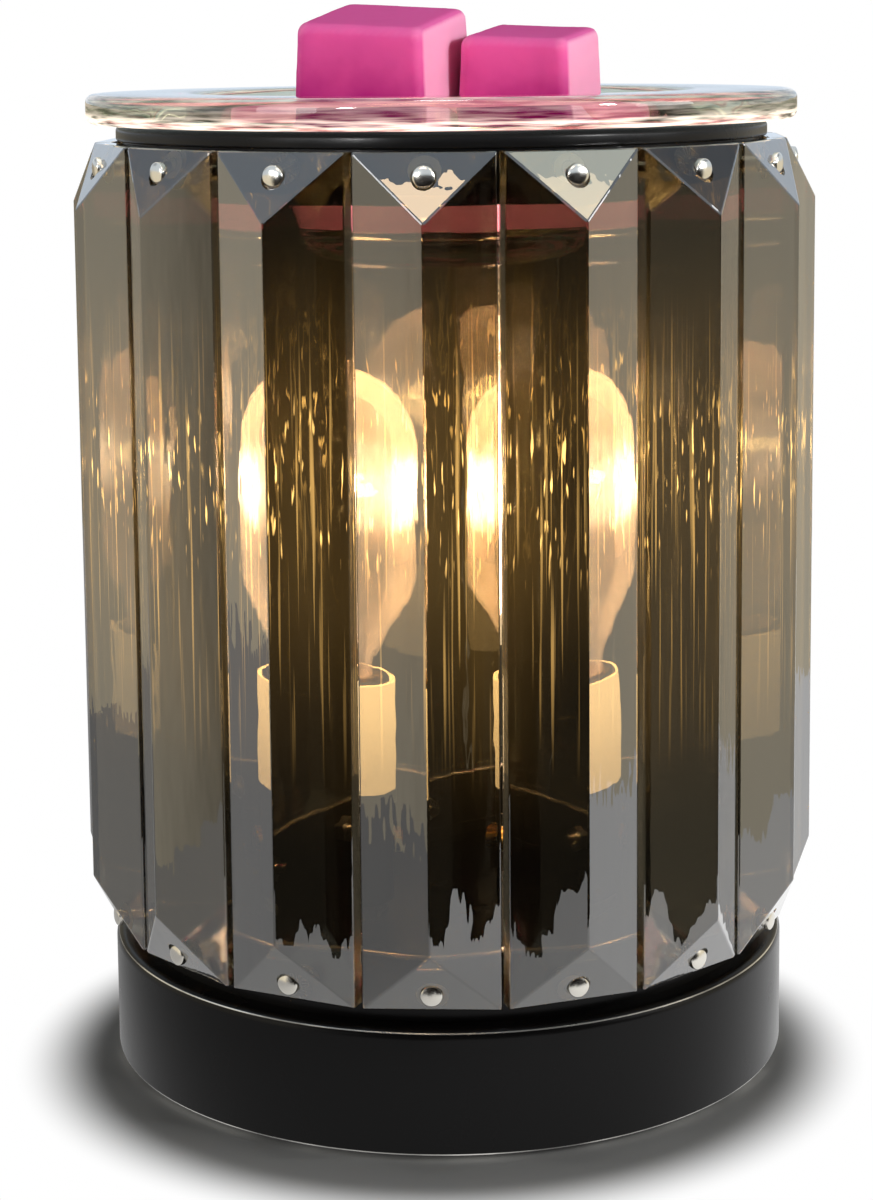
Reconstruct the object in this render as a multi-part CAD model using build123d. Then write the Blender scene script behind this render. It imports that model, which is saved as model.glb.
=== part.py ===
from build123d import *
import math
import os

# A wax melt warmer: smoked glass bars stand in a ring round a lamp, on a black drum base,
# and a glass dish of wax sits on top.
# Millimetres, +Z up. The origin is the centre of the footprint, on the surface that it stands on.
# The front bar faces -Y, and the cord gland is at the back, +Y.

# Rings that carry the bars
ring_radius = 51.6          # outside of the neck ring and of the top ring's skirt
sheet = 1.2                 # steel sheet of the base and the rings
neck_flange = 6.0           # width of the neck ring's inward flange
neck_margin = 5.1           # neck ring above its bar screws
skirt_margin = 4.3          # top ring's skirt below its bar screws
bead_gap = 0.2              # between the bars and the rolled bead
bead_height = 2.5
bead_width = 3.6
bead_lip = 0.7              # how far the bead stands out past the skirt
bead_round = 1.0

# Base
base_step = 3.7             # how far the base stands out past the rings
base_height = 20.2          # top of the base above the table
base_round = 1.6            # rounded top edge
rim_lift = 0.8              # gap under the base's lower edge
cover_lift = 2.2            # gap under the bottom cover
cover_thickness = 2.0
cover_clearance = 0.3       # between the cover and the base wall
post_count = 3
post_radius = 3.0
post_ring = 36.0            # distance of the posts from the axis
foot_count = 4
foot_radius = 5.0
foot_plug = 2.0             # radius of the plug that holds a foot in the cover
foot_plug_head = 1.2        # plug length above the cover
foot_ring = 43.0

# Cord gland in the back wall
gland_bore = 3.0
gland_wall = 1.2
gland_flange = 2.0          # how far the flanges stand out past the gland's barrel
gland_flange_thickness = 1.5
gland_height = 11.0

# Glass bars
bar_count = 16
bar_gap = 0.15              # between the back corners of neighbouring bars
bar_edge = 2.6              # thickness along the long edges
bar_ridge = 5.7             # height of the ridge above the long edges
bar_length = 126.1
bar_facet = 9.9             # length of an end facet along the ridge
bar_arris = 0.2             # width ground off the sharp edges
bar_lift = 3.0              # gap between the base and the bars
upper_inset = 3.5           # upper screw below the bar's top end
lower_inset = 2.8           # lower screw above the bar's bottom end

# Bar screws, washers and nuts
bar_screw_radius = 1.0
bar_head_radius = 1.65
bar_head_height = 1.2
bar_head_round = 0.7
bar_hole_clearance = 0.25
spot_clearance = 0.2        # between a head and the flat that is ground for it
spot_depth = 0.5            # depth of that flat at the screw's axis
washer_thickness = 0.5
washer_radius = 2.4
bar_nut_half_width = 2.0
bar_nut_thickness = 1.6
thread_gap = 0.05
thread_end = 0.6            # thread showing past a nut

# Screws of the neck ring and the bottom cover
screw_radius = 1.5
screw_head_radius = 2.75
screw_head_height = 1.2
screw_head_round = 0.5
screw_hole_clearance = 0.2
nut_half_width = 2.75
nut_thickness = 2.4
neck_screw_count = 4
cover_screw_length = 8.0

# Nipple that holds the lampholder on the base
nipple_radius = 5.0
nipple_bore = 3.5
nipple_clearance = 0.1
nipple_tail = 2.0           # thread below the lower nut
nipple_grip = 13.8          # thread inside the lampholder
nipple_nut_half_width = 7.0
nipple_nut_thickness = 3.0
nipple_washer_radius = 9.0
nipple_washer_thickness = 1.0

# Lampholder
holder_height = 37.2        # above the upper nipple nut
holder_wall = 1.2
socket_depth = 18.9
shell_wall = 0.35
shell_clearance = 0.25      # between the screw shell and the bulb's thread
shell_foot = 1.0            # shell above the socket's floor
contact_radius = 3.0
contact_height = 1.2
contact_round = 0.5
contact_gap = 0.3           # between the centre contact and the bulb's tip
sleeve_length = 18.4
sleeve_wall = 0.8
sleeve_clearance = 0.2
terminal_height = 9.0       # terminal screws above the holder's lower end
terminal_depth = 2.5
terminal_radius = 1.2
terminal_head_radius = 2.1
terminal_head_height = 1.3

# Bulb
thread_radius = 5.95        # crest of the screw cap's thread
thread_depth = 0.6
thread_pitch = 2.54
thread_turns = 4
cap_collar = 4.3            # plain part of the cap above its thread
cap_wall = 0.4
insulator_height = 2.4
tip_radius = 2.4
tip_height = 1.0
tip_round = 0.6
bulb_radius = 12.5
bulb_length = 50.7          # glass above the cap
bulb_wall = 0.6
neck_grip = 3.0             # glass inside the cap
neck_length = 2.5
shoulder_length = 13.0      # from the neck to the full width
shoulder_round = 6.0
stem_radius = 2.0
stem_length = 16.0
stem_flare = 1.2
lead_radius = 0.3
lead_spread = 1.0           # half the distance between the leads in the stem
filament_radius = 6.0       # of the open loop that the filament makes
filament_wire = 0.4
filament_height = 31.5      # above the cap
filament_sweep = 260.0

# Glass dish
dish_gap = 0.2              # between the rim and the bead that it rests on
rim_overhang = 4.7          # rim past the bead
rim_thickness = 4.7
rim_round = 1.9
bowl_clearance = 6.5        # between the bowl and the bead
bowl_draft = 6.0            # how much narrower the bowl is at its floor
bowl_depth = 21.3           # underside of the floor below the rim
dish_wall = 4.0
dish_floor = 4.5
bowl_round = 5.0
lip_round = 2.5

# Wax
wax_gap = 0.1
pool_depth = 10.5
cube_gap = 0.2              # between a cube and the pool
cube_draft = 2.5            # degrees
cube_round = 1.8
large_cube_width = 21.5
large_cube_height = 23.1    # middle of the top face above the pool
large_cube_place = (-9.0, -5.0)
large_cube_lean = 10.0      # degrees towards the front
small_cube_width = 18.0
small_cube_height = 20.4
small_cube_place = (14.5, -3.0)
small_cube_lean = 7.0
cube_turn = -18.0           # degrees about the vertical

# Places worked out from the sizes above
base_radius = ring_radius + base_step
bar_pitch = 360.0 / bar_count
front = -90.0
bar_back = ring_radius + washer_thickness
bar_front = bar_back + bar_edge
bar_crest = bar_front + bar_ridge
bar_width = 2.0 * bar_back * math.tan(math.radians(bar_pitch / 2.0)) - bar_gap
bar_bottom = base_height + bar_lift
bar_top = bar_bottom + bar_length
facet_slope = bar_ridge / bar_facet
upper_screws = bar_top - upper_inset
lower_screws = bar_bottom + lower_inset
ring_inside = ring_radius - sheet
neck_top = lower_screws + neck_margin
neck_screw_ring = ring_inside - neck_flange / 2.0
skirt_bottom = upper_screws - skirt_margin
bead_bottom = bar_top + bead_gap
bead_top = bead_bottom + bead_height
bead_outside = ring_radius + bead_lip
bead_inside = bead_outside - bead_width
ceiling = base_height - sheet
cover_top = cover_lift + cover_thickness
screw_hole = screw_radius + screw_hole_clearance

holder_bottom = base_height + nipple_nut_thickness
holder_top = holder_bottom + holder_height
socket_floor = holder_top - socket_depth
shell_inside = thread_radius + shell_clearance
shell_outside = shell_inside + shell_wall
holder_inside = shell_outside + thread_gap
holder_outside = holder_inside + holder_wall
sleeve_inside = holder_outside + sleeve_clearance
sleeve_outside = sleeve_inside + sleeve_wall
sleeve_bottom = holder_top - sleeve_length
nipple_hole = nipple_radius + nipple_clearance

tip_bottom = socket_floor + contact_height + contact_gap
tip_top = tip_bottom + tip_height
cap_bottom = tip_top + insulator_height
thread_top = cap_bottom + thread_pitch * thread_turns
cap_top = thread_top + cap_collar
cap_bore = thread_radius - thread_depth - cap_wall
bulb_top = cap_top + bulb_length
glass_bottom = cap_top - neck_grip
stem_top = cap_top + stem_length
filament_level = cap_top + filament_height

rim_bottom = bead_top + dish_gap
rim_top = rim_bottom + rim_thickness
rim_radius = bead_outside + rim_overhang
bowl_mouth = bead_inside - bowl_clearance
bowl_foot = bowl_mouth - bowl_draft
bowl_bottom = rim_bottom - bowl_depth
bowl_floor = bowl_bottom + dish_floor
pool_top = bowl_floor + pool_depth


def turned(points, rounds=None):
    """A solid turned about the Z axis from an outline of (radius, height) points."""
    if rounds is None:
        outline = Polyline(*points, close=True)
    else:
        outline = FilletPolyline(*points, radius=rounds, close=True)
    return revolve(Plane.XZ * make_face(outline), Axis.Z)


def tube(outer, inner, bottom, top):
    """A plain upright tube."""
    return turned([(inner, bottom), (outer, bottom), (outer, top), (inner, top)])


def rod(radius, bottom, top):
    """A plain upright cylinder."""
    return extrude(Plane.XY.offset(bottom) * Circle(radius), top - bottom)


def hexagon(half_width, bottom, top):
    """An upright hexagonal prism, measured across its flats."""
    outline = RegularPolygon(half_width, 6, major_radius=False)
    return extrude(Plane.XY.offset(bottom) * outline, top - bottom)


def button(radius, bottom, top, edge_round):
    """A cylinder with its upper edge rounded."""
    plain = rod(radius, bottom, top)
    return fillet(plain.edges().sort_by(Axis.Z)[-1], edge_round)


def straight_wire(radius, start, end):
    """A round wire between two points."""
    run = Vector(*end) - Vector(*start)
    return extrude(Plane(origin=start, z_dir=run) * Circle(radius), run.length)


def outward(shape, height):
    """Turn a shape that stands on Z so that it points along +X at this height."""
    return Pos(0, 0, height) * Rot(Y=90) * shape


def around(shape, count, start=0.0):
    """Copies of a shape, evenly spaced about the Z axis."""
    return [Rot(Z=start + index * 360.0 / count) * shape for index in range(count)]


def group(shapes):
    """Several solids that share one node."""
    return Compound(children=[Solid(shape.solid().wrapped) for shape in shapes])


def bar_stations(shape):
    """Copies of a shape, one for each bar."""
    return around(shape, bar_count, front)


def screw_seat(inset):
    """Distance from the axis of the flat under a bar screw's head."""
    return bar_front + inset * facet_slope - spot_depth


def glass_bar():
    """One bar, with its ridge towards +X, before it is turned to its station."""
    half = bar_width / 2.0
    section = Polygon((bar_back, -half), (bar_front, -half), (bar_crest, 0), (bar_front, half),
                      (bar_back, half), align=None)
    side = Polygon((bar_back, bar_bottom), (bar_front, bar_bottom), (bar_crest, bar_bottom + bar_facet),
                   (bar_crest, bar_top - bar_facet), (bar_front, bar_top), (bar_back, bar_top), align=None)
    stock = extrude(Plane.XY.offset(bar_bottom) * chamfer(section.vertices(), bar_arris), bar_length)
    bar = stock & extrude(Plane.XZ * chamfer(side.vertices(), bar_arris), half, both=True)
    for inset, height in ((upper_inset, upper_screws), (lower_inset, lower_screws)):
        bar -= outward(rod(bar_screw_radius + bar_hole_clearance, 0, bar_crest), height)
        bar -= outward(rod(bar_head_radius + spot_clearance, screw_seat(inset), bar_crest), height)
    return bar


def bar_screw(inset, height):
    """A screw through a bar, its washer and the ring behind it."""
    seat = screw_seat(inset)
    shank_end = ring_inside - bar_nut_thickness - thread_end
    head = button(bar_head_radius, seat, seat + bar_head_height, bar_head_round)
    return outward(head + rod(bar_screw_radius, shank_end, seat), height)


def bar_nut(height):
    """The nut inside the ring, shaped to the ring's curve."""
    nut = hexagon(bar_nut_half_width, ring_inside - bar_nut_thickness, ring_inside)
    nut -= rod(bar_screw_radius + thread_gap, 0, ring_radius)
    return outward(nut, height) & rod(ring_inside, 0, bead_top)


def bar_washer(height):
    """The soft washer between the ring and a bar's back, shaped to the ring's curve."""
    washer = tube(washer_radius, bar_screw_radius + thread_gap, ring_inside, bar_back)
    return outward(washer, height) - rod(ring_radius, 0, bead_bottom)


def drilled_for_bars(ring, height):
    """A ring with a clearance hole for each bar screw."""
    for hole in bar_stations(outward(rod(bar_screw_radius + thread_gap, 0, bar_back), height)):
        ring -= hole
    return ring


def base_drum():
    """A deep cup of sheet steel, upside down, with holes for what is fixed to it."""
    outer = button(base_radius, rim_lift, base_height, base_round)
    drum = outer - button(base_radius - sheet, rim_lift, ceiling, max(base_round - sheet, thread_gap))
    drum -= rod(nipple_hole, ceiling, base_height)
    for hole in neck_stations(rod(screw_hole, ceiling, base_height)):
        drum -= hole
    return drum - gland_station(rod(gland_bore + gland_wall, 0, base_radius))


def neck_stations(shape):
    """Copies of a shape on the axis, one at each neck ring screw, between two bars."""
    return around(Pos(neck_screw_ring, 0, 0) * shape, neck_screw_count, bar_pitch / 2.0)


def gland_station(shape):
    """A shape that stands on Z, moved to the gland in the back wall."""
    return Rot(Z=90) * outward(shape, gland_height)


def cord_gland(drum):
    """A rubber bush with a flange on each side of the wall that it is pressed into."""
    flange = gland_bore + gland_wall + gland_flange
    inner_end = base_radius - sheet - gland_flange_thickness
    bush = tube(flange, gland_bore, inner_end, base_radius + gland_flange_thickness)
    return gland_station(bush) - drum


def neck_ring():
    """An angle-section ring: a wall for the bar screws and a flange on the base."""
    inner = ring_inside - neck_flange
    ring = tube(ring_radius, ring_inside, base_height, neck_top)
    ring += tube(ring_radius, inner, base_height, base_height + sheet)
    for hole in neck_stations(rod(screw_hole, base_height, base_height + sheet)):
        ring -= hole
    return drilled_for_bars(ring, lower_screws)


def neck_screw():
    """A screw down through the neck ring's flange and the base."""
    seat = base_height + sheet
    head = button(screw_head_radius, seat, seat + screw_head_height, screw_head_round)
    return head + rod(screw_radius, ceiling - nut_thickness - thread_end, seat)


def neck_nut():
    """The nut under the base's top."""
    nut = hexagon(nut_half_width, ceiling - nut_thickness, ceiling)
    return nut - rod(screw_radius + thread_gap, 0, base_height)


def top_ring():
    """A skirt for the bar screws under a rolled bead that carries the dish."""
    bead = turned([(bead_inside, bead_bottom), (bead_outside, bead_bottom), (bead_outside, bead_top),
                   (bead_inside, bead_top)], bead_round)
    skirt = tube(ring_radius, ring_inside, skirt_bottom, bead_bottom + bead_height / 2.0)
    return drilled_for_bars(bead + skirt, upper_screws)


def cover_stations(shape):
    """Copies of a shape on the axis, one at each post of the bottom cover."""
    return around(Pos(post_ring, 0, 0) * shape, post_count, front)


def foot_stations(shape):
    """Copies of a shape on the axis, one at each foot."""
    return around(Pos(foot_ring, 0, 0) * shape, foot_count, 180.0 / foot_count)


def bottom_cover():
    """A disc that closes the base, with holes for its screws and feet."""
    cover = rod(base_radius - sheet - cover_clearance, cover_lift, cover_top)
    for hole in cover_stations(rod(screw_hole, cover_lift, cover_top)):
        cover -= hole
    for hole in foot_stations(rod(foot_plug, cover_lift, cover_top)):
        cover -= hole
    return cover


def cover_post():
    """A threaded post from the base's top down to the cover."""
    post = rod(post_radius, cover_top, ceiling)
    return post - rod(screw_radius + thread_gap, cover_top, cover_lift + cover_screw_length + thread_end)


def cover_screw():
    """A screw up through the cover into its post."""
    head = button(screw_head_radius, -cover_lift, screw_head_height - cover_lift, screw_head_round)
    return Rot(X=180) * head + rod(screw_radius, cover_lift, cover_lift + cover_screw_length)


def rubber_foot():
    """A foot with a plug that snaps through the cover."""
    return rod(foot_radius, 0, cover_lift) + rod(foot_plug, cover_lift, cover_top + foot_plug_head)


def holder_nipple():
    """The threaded tube from the base up into the lampholder."""
    bottom = ceiling - nipple_washer_thickness - nipple_nut_thickness - nipple_tail
    return tube(nipple_radius, nipple_bore, bottom, holder_bottom + nipple_grip)


def nipple_nut(bottom):
    """A nut on the nipple."""
    nut = hexagon(nipple_nut_half_width, bottom, bottom + nipple_nut_thickness)
    return nut - rod(nipple_radius + thread_gap, bottom, bottom + nipple_nut_thickness)


def lampholder_body():
    """A moulded holder: a wide foot, a narrower barrel for the sleeve, a socket and a nipple bore."""
    body = rod(sleeve_outside, holder_bottom, sleeve_bottom)
    body += rod(holder_outside, sleeve_bottom, holder_top)
    body -= rod(holder_inside, socket_floor, holder_top)
    body -= rod(nipple_hole, holder_bottom, holder_bottom + nipple_grip)
    for hole in terminal_stations(rod(terminal_radius + thread_gap, -terminal_depth, terminal_head_height)):
        body -= hole
    return body


def terminal_stations(shape):
    """A shape that stands on the holder's side, at both terminals."""
    height = holder_bottom + terminal_height
    return around(Pos(sleeve_outside, 0, 0) * outward(shape, height), 2)


def terminal_screw():
    """A brass screw that clamps a lead, its head on the holder's side."""
    return rod(terminal_head_radius, 0, terminal_head_height) + rod(terminal_radius, -terminal_depth, 0)


def screw_cap():
    """The bulb's cap: a thin shell with a rolled thread, drawn as rings, and a plain collar."""
    root = thread_radius - thread_depth
    outline = [(cap_bore, cap_top), (cap_bore, cap_bottom), (root, cap_bottom)]
    for turn in range(thread_turns):
        level = cap_bottom + turn * thread_pitch
        outline.append((thread_radius, level + thread_pitch / 2.0))
        outline.append((root, level + thread_pitch))
    outline.append((thread_radius, thread_top + thread_depth))
    outline.append((thread_radius, cap_top))
    return turned(outline)


def tip_contact():
    """The solder button under the bulb's cap."""
    return Rot(X=180) * button(tip_radius, -tip_top, -tip_bottom, tip_round)


def cap_insulator():
    """The black glass cone between the cap and its tip."""
    root = thread_radius - thread_depth
    return turned([(0, tip_top), (tip_radius, tip_top), (root, cap_bottom), (0, cap_bottom)])


def bulb_form(inset):
    """The bulb's outline turned solid, smaller all round by the inset."""
    widest = bulb_radius - inset
    neck = cap_bore - thread_gap - inset
    neck_end = cap_top + neck_length
    dome = bulb_top - bulb_radius
    side = FilletPolyline((0, glass_bottom), (neck, glass_bottom), (neck, neck_end),
                          (widest, neck_end + shoulder_length), (widest, dome),
                          radius=[0, shoulder_round, shoulder_round])
    crown = CenterArc((0, dome), widest, 0, 90)
    axis = Line((0, dome + widest), (0, glass_bottom))
    return revolve(Plane.XZ * make_face([side, crown, axis]), Axis.Z)


def bulb_stem():
    """The glass mount inside the bulb, flared to seal its neck."""
    neck = cap_bore - 2.0 * thread_gap - bulb_wall
    return turned([(0, glass_bottom), (neck, glass_bottom), (neck, glass_bottom + stem_flare),
                   (stem_radius, glass_bottom + 2.0 * stem_flare), (stem_radius, stem_top), (0, stem_top)])


def filament():
    """The filament: an open horizontal loop of fine coil, drawn as one round wire."""
    section = Plane.XZ * (Pos(filament_radius, filament_level) * Circle(filament_wire))
    return Rot(Z=(360.0 - filament_sweep) / 2.0) * revolve(section, Axis.Z, filament_sweep)


def lead_wire(side):
    """A lead from the stem to one end of the filament."""
    turn = math.radians((360.0 - filament_sweep) / 2.0)
    reach = filament_radius * math.cos(turn)
    spread = filament_radius * math.sin(turn)
    end = (reach, side * spread, filament_level - filament_wire)
    return straight_wire(lead_radius, (0, side * lead_spread, stem_top), end) - bulb_stem()


def bowl_inside(height):
    """Radius of the bowl's inner wall at this height."""
    slope = bowl_draft / (rim_bottom - bowl_bottom)
    return bowl_foot - dish_wall + (height - bowl_bottom) * slope


def glass_dish():
    """A pressed glass dish: a thick flat rim round a bowl with a flat floor."""
    points = [(0, bowl_bottom), (bowl_foot, bowl_bottom), (bowl_mouth, rim_bottom),
              (rim_radius, rim_bottom), (rim_radius, rim_top), (bowl_inside(rim_top), rim_top),
              (bowl_inside(bowl_floor), bowl_floor), (0, bowl_floor)]
    return turned(points, [0, bowl_round, lip_round, rim_round, rim_round, lip_round, bowl_round, 0])


def wax_pool():
    """The wax that fills the lower part of the bowl."""
    bottom = bowl_floor + wax_gap
    points = [(0, bottom), (bowl_inside(bottom) - wax_gap, bottom),
              (bowl_inside(pool_top) - wax_gap, pool_top), (0, pool_top)]
    return turned(points, [0, bowl_round, 0, 0])


def wax_cube(width, height, place, lean):
    """A moulded cube that leans to the front, its foot melted flat on the pool."""
    stock = extrude(Plane.XY * Rectangle(width, width), -2.0 * height, taper=-cube_draft)
    foot = stock.edges().group_by(Axis.Z)[0]
    block = fillet([edge for edge in stock.edges() if edge not in foot], cube_round)
    placed = Pos(place[0], place[1], pool_top + height) * Rot(X=lean) * Rot(Z=cube_turn) * block
    return split(placed, Plane.XY.offset(pool_top + cube_gap), keep=Keep.TOP)


def write(node, shape):
    """Write one node."""
    export_step(shape, f"parts/{node}.step")


os.makedirs("parts", exist_ok=True)

drum = base_drum()
write("base_drum", drum)
write("bottom_cover", bottom_cover())
write("cover_posts", group(cover_stations(cover_post())))
write("cover_screws", group(cover_stations(cover_screw())))
write("rubber_feet", group(foot_stations(rubber_foot())))
write("cord_gland", cord_gland(drum))
write("neck_ring", neck_ring())
write("neck_screws", group(neck_stations(neck_screw())))
write("neck_nuts", group(neck_stations(neck_nut())))
write("top_ring", top_ring())

for number, bar in enumerate(bar_stations(glass_bar()), start=1):
    write(f"glass_bar_{number:02d}", bar)
for level, inset, height in (("upper", upper_inset, upper_screws), ("lower", lower_inset, lower_screws)):
    write(f"{level}_bar_screws", group(bar_stations(bar_screw(inset, height))))
    write(f"{level}_bar_washers", group(bar_stations(bar_washer(height))))
    write(f"{level}_bar_nuts", group(bar_stations(bar_nut(height))))

lower_nut = ceiling - nipple_washer_thickness - nipple_nut_thickness
write("holder_nipple", holder_nipple())
write("nipple_nuts", group([nipple_nut(lower_nut), nipple_nut(base_height)]))
write("nipple_washer", tube(nipple_washer_radius, nipple_hole, ceiling - nipple_washer_thickness, ceiling))
write("lampholder_body", lampholder_body())
write("terminal_screws", group(terminal_stations(terminal_screw())))
write("screw_shell", tube(shell_outside, shell_inside, socket_floor + shell_foot, holder_top))
write("centre_contact", button(contact_radius, socket_floor, socket_floor + contact_height, contact_round))
write("candle_sleeve", tube(sleeve_outside, sleeve_inside, sleeve_bottom, holder_top))

write("tip_contact", tip_contact())
write("cap_insulator", cap_insulator())
write("bulb_cap", screw_cap())
write("bulb_glass", bulb_form(0) - bulb_form(bulb_wall))
write("bulb_stem", bulb_stem())
write("lead_wires", group([lead_wire(-1), lead_wire(1)]))
write("filament", filament())

write("glass_dish", glass_dish())
write("wax_pool", wax_pool())
write("large_wax_cube", wax_cube(large_cube_width, large_cube_height, large_cube_place, large_cube_lean))
write("small_wax_cube", wax_cube(small_cube_width, small_cube_height, small_cube_place, small_cube_lean))
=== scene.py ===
"""The looks of a wax melt warmer, laid out as an add-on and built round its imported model.

Metres, +Z up, and the front bar faces -Y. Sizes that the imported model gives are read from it.
"""

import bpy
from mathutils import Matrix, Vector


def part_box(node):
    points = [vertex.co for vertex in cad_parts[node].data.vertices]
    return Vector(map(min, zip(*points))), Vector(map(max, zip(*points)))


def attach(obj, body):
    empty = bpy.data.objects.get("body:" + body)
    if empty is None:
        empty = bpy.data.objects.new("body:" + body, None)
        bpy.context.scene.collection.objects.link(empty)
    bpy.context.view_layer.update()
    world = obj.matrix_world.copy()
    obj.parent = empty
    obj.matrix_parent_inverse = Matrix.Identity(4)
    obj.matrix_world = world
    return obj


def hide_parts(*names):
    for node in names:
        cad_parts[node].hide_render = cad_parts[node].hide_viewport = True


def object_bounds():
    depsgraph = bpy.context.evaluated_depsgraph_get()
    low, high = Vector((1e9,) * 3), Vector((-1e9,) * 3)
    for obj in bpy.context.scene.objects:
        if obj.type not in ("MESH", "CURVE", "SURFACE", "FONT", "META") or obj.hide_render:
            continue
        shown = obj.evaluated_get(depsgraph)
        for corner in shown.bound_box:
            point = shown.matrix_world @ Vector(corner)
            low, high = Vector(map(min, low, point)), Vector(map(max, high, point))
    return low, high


bl_info = {
    "name": "Wax Melt Warmer",
    "version": (1, 0, 0),
    "blender": (4, 5, 0),
    "location": "View3D > Sidebar > Warmer",
    "description": "Builds the glass bars, dish, wax, lamp and base of a wax melt warmer",
    "category": "Object",
}

import math

import bmesh
import bpy
from bpy.props import FloatProperty, FloatVectorProperty, IntProperty, PointerProperty
from mathutils import Matrix, Vector, noise

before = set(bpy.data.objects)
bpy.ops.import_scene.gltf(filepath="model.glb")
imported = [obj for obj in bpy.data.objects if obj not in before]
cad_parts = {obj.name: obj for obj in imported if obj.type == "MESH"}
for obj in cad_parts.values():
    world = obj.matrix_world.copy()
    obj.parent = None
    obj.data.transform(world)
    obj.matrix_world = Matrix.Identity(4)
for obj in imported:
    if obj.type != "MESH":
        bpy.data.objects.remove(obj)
cad_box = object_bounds()

MM = 0.001                  # a millimetre in metres
QUARTER_TURN = math.pi / 2.0
MERGE = 0.001 * MM          # points closer than this are one point
ROUND_STEPS = 6             # straight steps in each rounded corner of an outline
DOME_STEPS = 12             # steps from the edge of a screw's dome to its top
CROWN_STEPS = 24            # steps from the side of the bulb to its top
COIL_STEPS = 10             # steps in each turn of the filament's coil
POOL_RINGS = 30             # rings of faces on the pool's surface
TURNED_SEGMENTS = 192       # steps round a turned piece
ROD_SEGMENTS = 48           # steps round a rod to cut with
FLOOR_SEGMENTS = 96         # steps round the paper
SCREEN_COLUMNS = 2400       # strips in the screen, fine enough for its ragged hem
SHARP_ANGLE = math.radians(32.0)    # edges that turn more than this stay sharp
FLAT_ANGLE = 0.01           # faces that meet at less than this, in radians, are one face
IMAGE_HEIGHT = 1200.0       # pixels of the long side of the photograph's frame
FACTOR = 0                  # inputs of a Mix node for colours
COLOUR_A = 6
COLOUR_B = 7


# Values that a user can change

def linear(code):
    """An sRGB hex value as linear red, green, blue and alpha."""
    parts = [int(code[start:start + 2], 16) / 255.0 for start in (1, 3, 5)]
    return tuple(part / 12.92 if part <= 0.04045 else ((part + 0.055) / 1.055) ** 2.4
                 for part in parts) + (1.0,)


def size(name, description, millimetres):
    """A length, given in millimetres and kept in metres."""
    return FloatProperty(name=name, description=description, default=millimetres * MM,
                         unit="LENGTH", precision=5)


def tint(name, description, code):
    """A colour, given as an sRGB hex value and kept linear."""
    return FloatVectorProperty(name=name, description=description, default=linear(code), size=4,
                               subtype="COLOR", min=0.0, max=1.0)


def share(name, description, default):
    """A plain number, such as a strength."""
    return FloatProperty(name=name, description=description, default=default)


def degrees(name, description, default):
    """An angle, given in degrees and kept in radians."""
    return FloatProperty(name=name, description=description, default=math.radians(default),
                         subtype="ANGLE")


class BaseSizes(bpy.types.PropertyGroup):
    """The base drum and the two rings that carry the bars."""
    sheet: size("Sheet", "Thickness of the steel sheet", 1.2)
    edge_round: size("Edge round", "Rounded top edge of the base", 1.6)
    hem_round: size("Hem round", "Rounded lower edge of the base and the rings", 0.4)
    hole_clearance: size("Hole clearance", "Gap round the lamp's nipple", 0.1)
    gland_hole: size("Gland hole", "Radius of the hole that the cord gland sits in", 4.2)
    neck_flange: size("Neck flange", "Width of the neck ring's inward flange", 6.0)
    bead_height: size("Bead height", "Height of the rolled bead under the dish", 2.5)
    bead_width: size("Bead width", "Width of the rolled bead", 3.6)
    bead_round: size("Bead round", "Rounded edges of the bead", 1.0)
    # Foot, shoulder and lip lines are painted highlights, drawn as pale rubbed steel where these edges
    # catch the light.
    foot_highlight: size("Foot wear", "How far the enamel is rubbed off along the base's foot", 0.3)
    shoulder_highlight: size("Shoulder wear", "How far it is rubbed off along the base's top edge", 0.08)
    shoulder_drop: share("Shoulder drop", "How low that wear lies, as a share of the edge's round", 0.4)
    lip_highlight: size("Lip wear", "How far it is rubbed off along the neck ring's lip", 0.5)


class BarSizes(bpy.types.PropertyGroup):
    """The glass bars and their screws."""
    count: IntProperty(name="Count", description="Bars in the ring", default=16)
    edge: size("Edge", "Thickness along a bar's long edges", 2.6)
    facet: size("Facet", "Length of an end facet along the ridge", 9.9)
    arris: size("Arris", "Width polished off the sharp edges", 0.22)
    # The glow film is painted glints: a gold glow on the bars' inner faces, for the lamp's light caught in
    # the glass.
    glow_film: size("Film", "How far the film on a bar's inner face reaches past its edges", 0.1)
    hole: size("Hole", "Radius of a screw hole", 1.25)
    spot: size("Spot", "Radius of the flat ground for a screw head", 1.85)
    spot_depth: size("Spot depth", "Depth of that flat at the screw's axis", 0.5)
    head: size("Head", "Radius of a screw head", 1.65)
    head_height: size("Head height", "Height of a screw head", 1.2)
    head_dome: size("Head dome", "Rise of the dome on a screw head", 0.55)
    shank: size("Shank", "Radius of a screw's shank", 1.0)
    shank_reach: size("Shank reach", "How far a shank goes in from the outer face of its nut", 4.0)


class LampSizes(bpy.types.PropertyGroup):
    """The bulb and the sleeve under it."""
    sleeve_wall: size("Sleeve wall", "Thickness of the candle sleeve", 0.8)
    sleeve_round: size("Sleeve round", "Rounded ends of the candle sleeve", 0.3)
    wall: size("Glass wall", "Thickness of the bulb's glass", 0.6)
    neck: size("Neck", "Radius of the bulb's neck", 4.9)
    neck_length: size("Neck length", "Straight neck from the glass's lower end", 5.5)
    shoulder: size("Shoulder", "Height over which the bulb swells", 13.0)
    shoulder_round: size("Shoulder round", "Rounding of the shoulder", 6.0)
    loop: size("Filament loop", "Radius of the loop that the filament makes", 6.0)
    loop_sweep: degrees("Loop sweep", "How far round the loop goes", 260.0)
    coil: size("Coil", "Radius of the filament's fine coil", 0.9)
    wire: size("Wire", "Radius of the filament wire, drawn thick enough to show", 0.3)
    coil_turns: IntProperty(name="Coil turns", description="Turns of the fine coil", default=34)


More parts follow.
